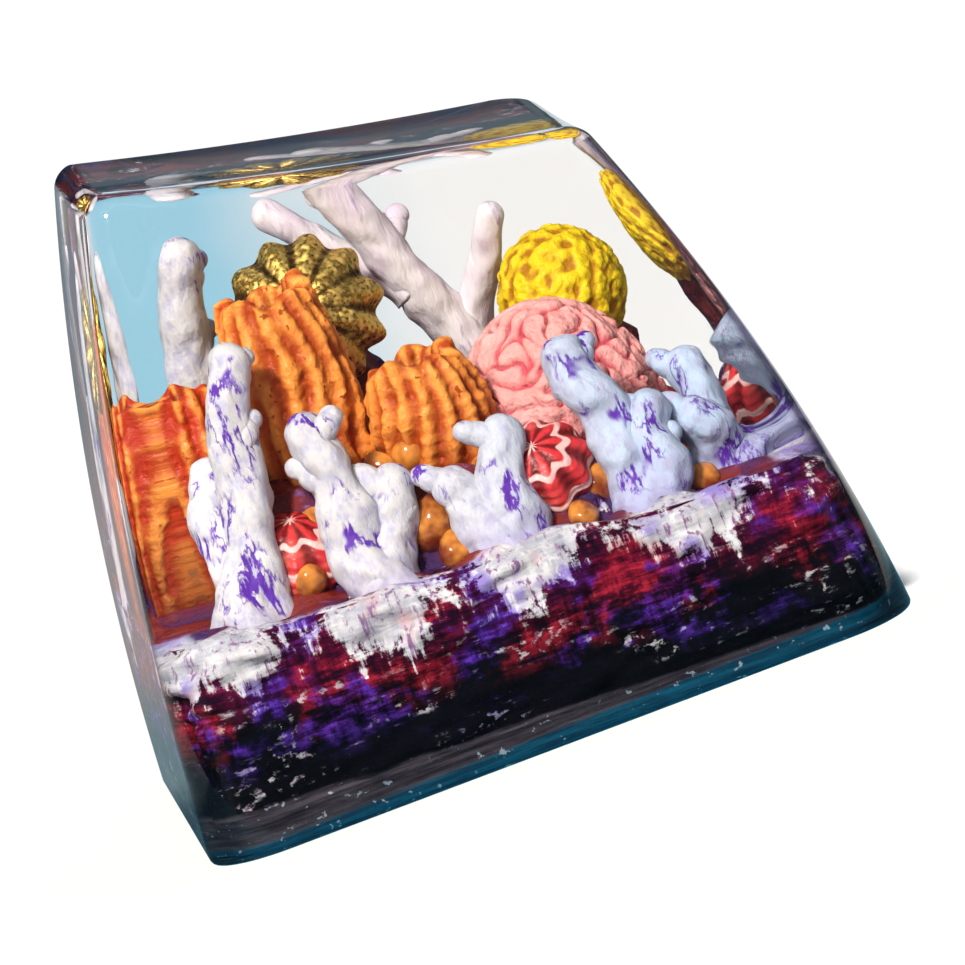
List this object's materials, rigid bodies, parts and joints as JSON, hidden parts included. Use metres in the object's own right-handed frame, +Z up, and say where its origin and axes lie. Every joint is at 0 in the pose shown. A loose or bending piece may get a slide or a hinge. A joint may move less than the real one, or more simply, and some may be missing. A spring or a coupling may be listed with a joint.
{
  "type": "keycap",
  "caption": "Tall sculpted keycap: a painted miniature reef garden sealed in a clear resin block, with a hollow underside and a round post with a cross-shaped socket.",
  "frame": {"origin": "middle of the base, on the plane of the base rim", "axes": "+Z up through the top, -X towards the high back edge of the cap, +X towards the typist, -Y towards the side seen in the picture"},
  "size_m": [0.0182, 0.0182, 0.0161],
  "materials": {
    "clear_resin": "polished clear cast resin",
    "painted_rock": "black casting with dry-brushed paint",
    "white_coral": "white paint",
    "orange_sponge": "orange paint",
    "pink_coral": "pink paint",
    "yellow_sponge": "yellow paint",
    "gold_paint": "metallic gold paint",
    "red_shell": "red gloss paint with pale veins",
    "bleached_wood": "white paint",
    "amber_bead": "glossy amber"
  },
  "bodies": {
    "root": {"clear_resin_cap": "clear_resin", "rock_base": "painted_rock", "finger_coral_left": "white_coral", "finger_coral_mid_left": "white_coral", "finger_coral_middle": "white_coral", "finger_coral_mid_right": "white_coral", "finger_coral_right": "white_coral", "finger_coral_back": "white_coral", "barrel_sponge_large": "orange_sponge", "barrel_sponge_middle": "orange_sponge", "barrel_sponge_small": "orange_sponge", "brain_coral": "pink_coral", "sponge_ball": "yellow_sponge", "gold_shell": "gold_paint", "striped_shell_left": "red_shell", "striped_shell_middle": "red_shell", "striped_shell_right": "red_shell", "bleached_branch": "bleached_wood", "amber_pebbles": "amber_bead"}
  },
  "joints": []
}
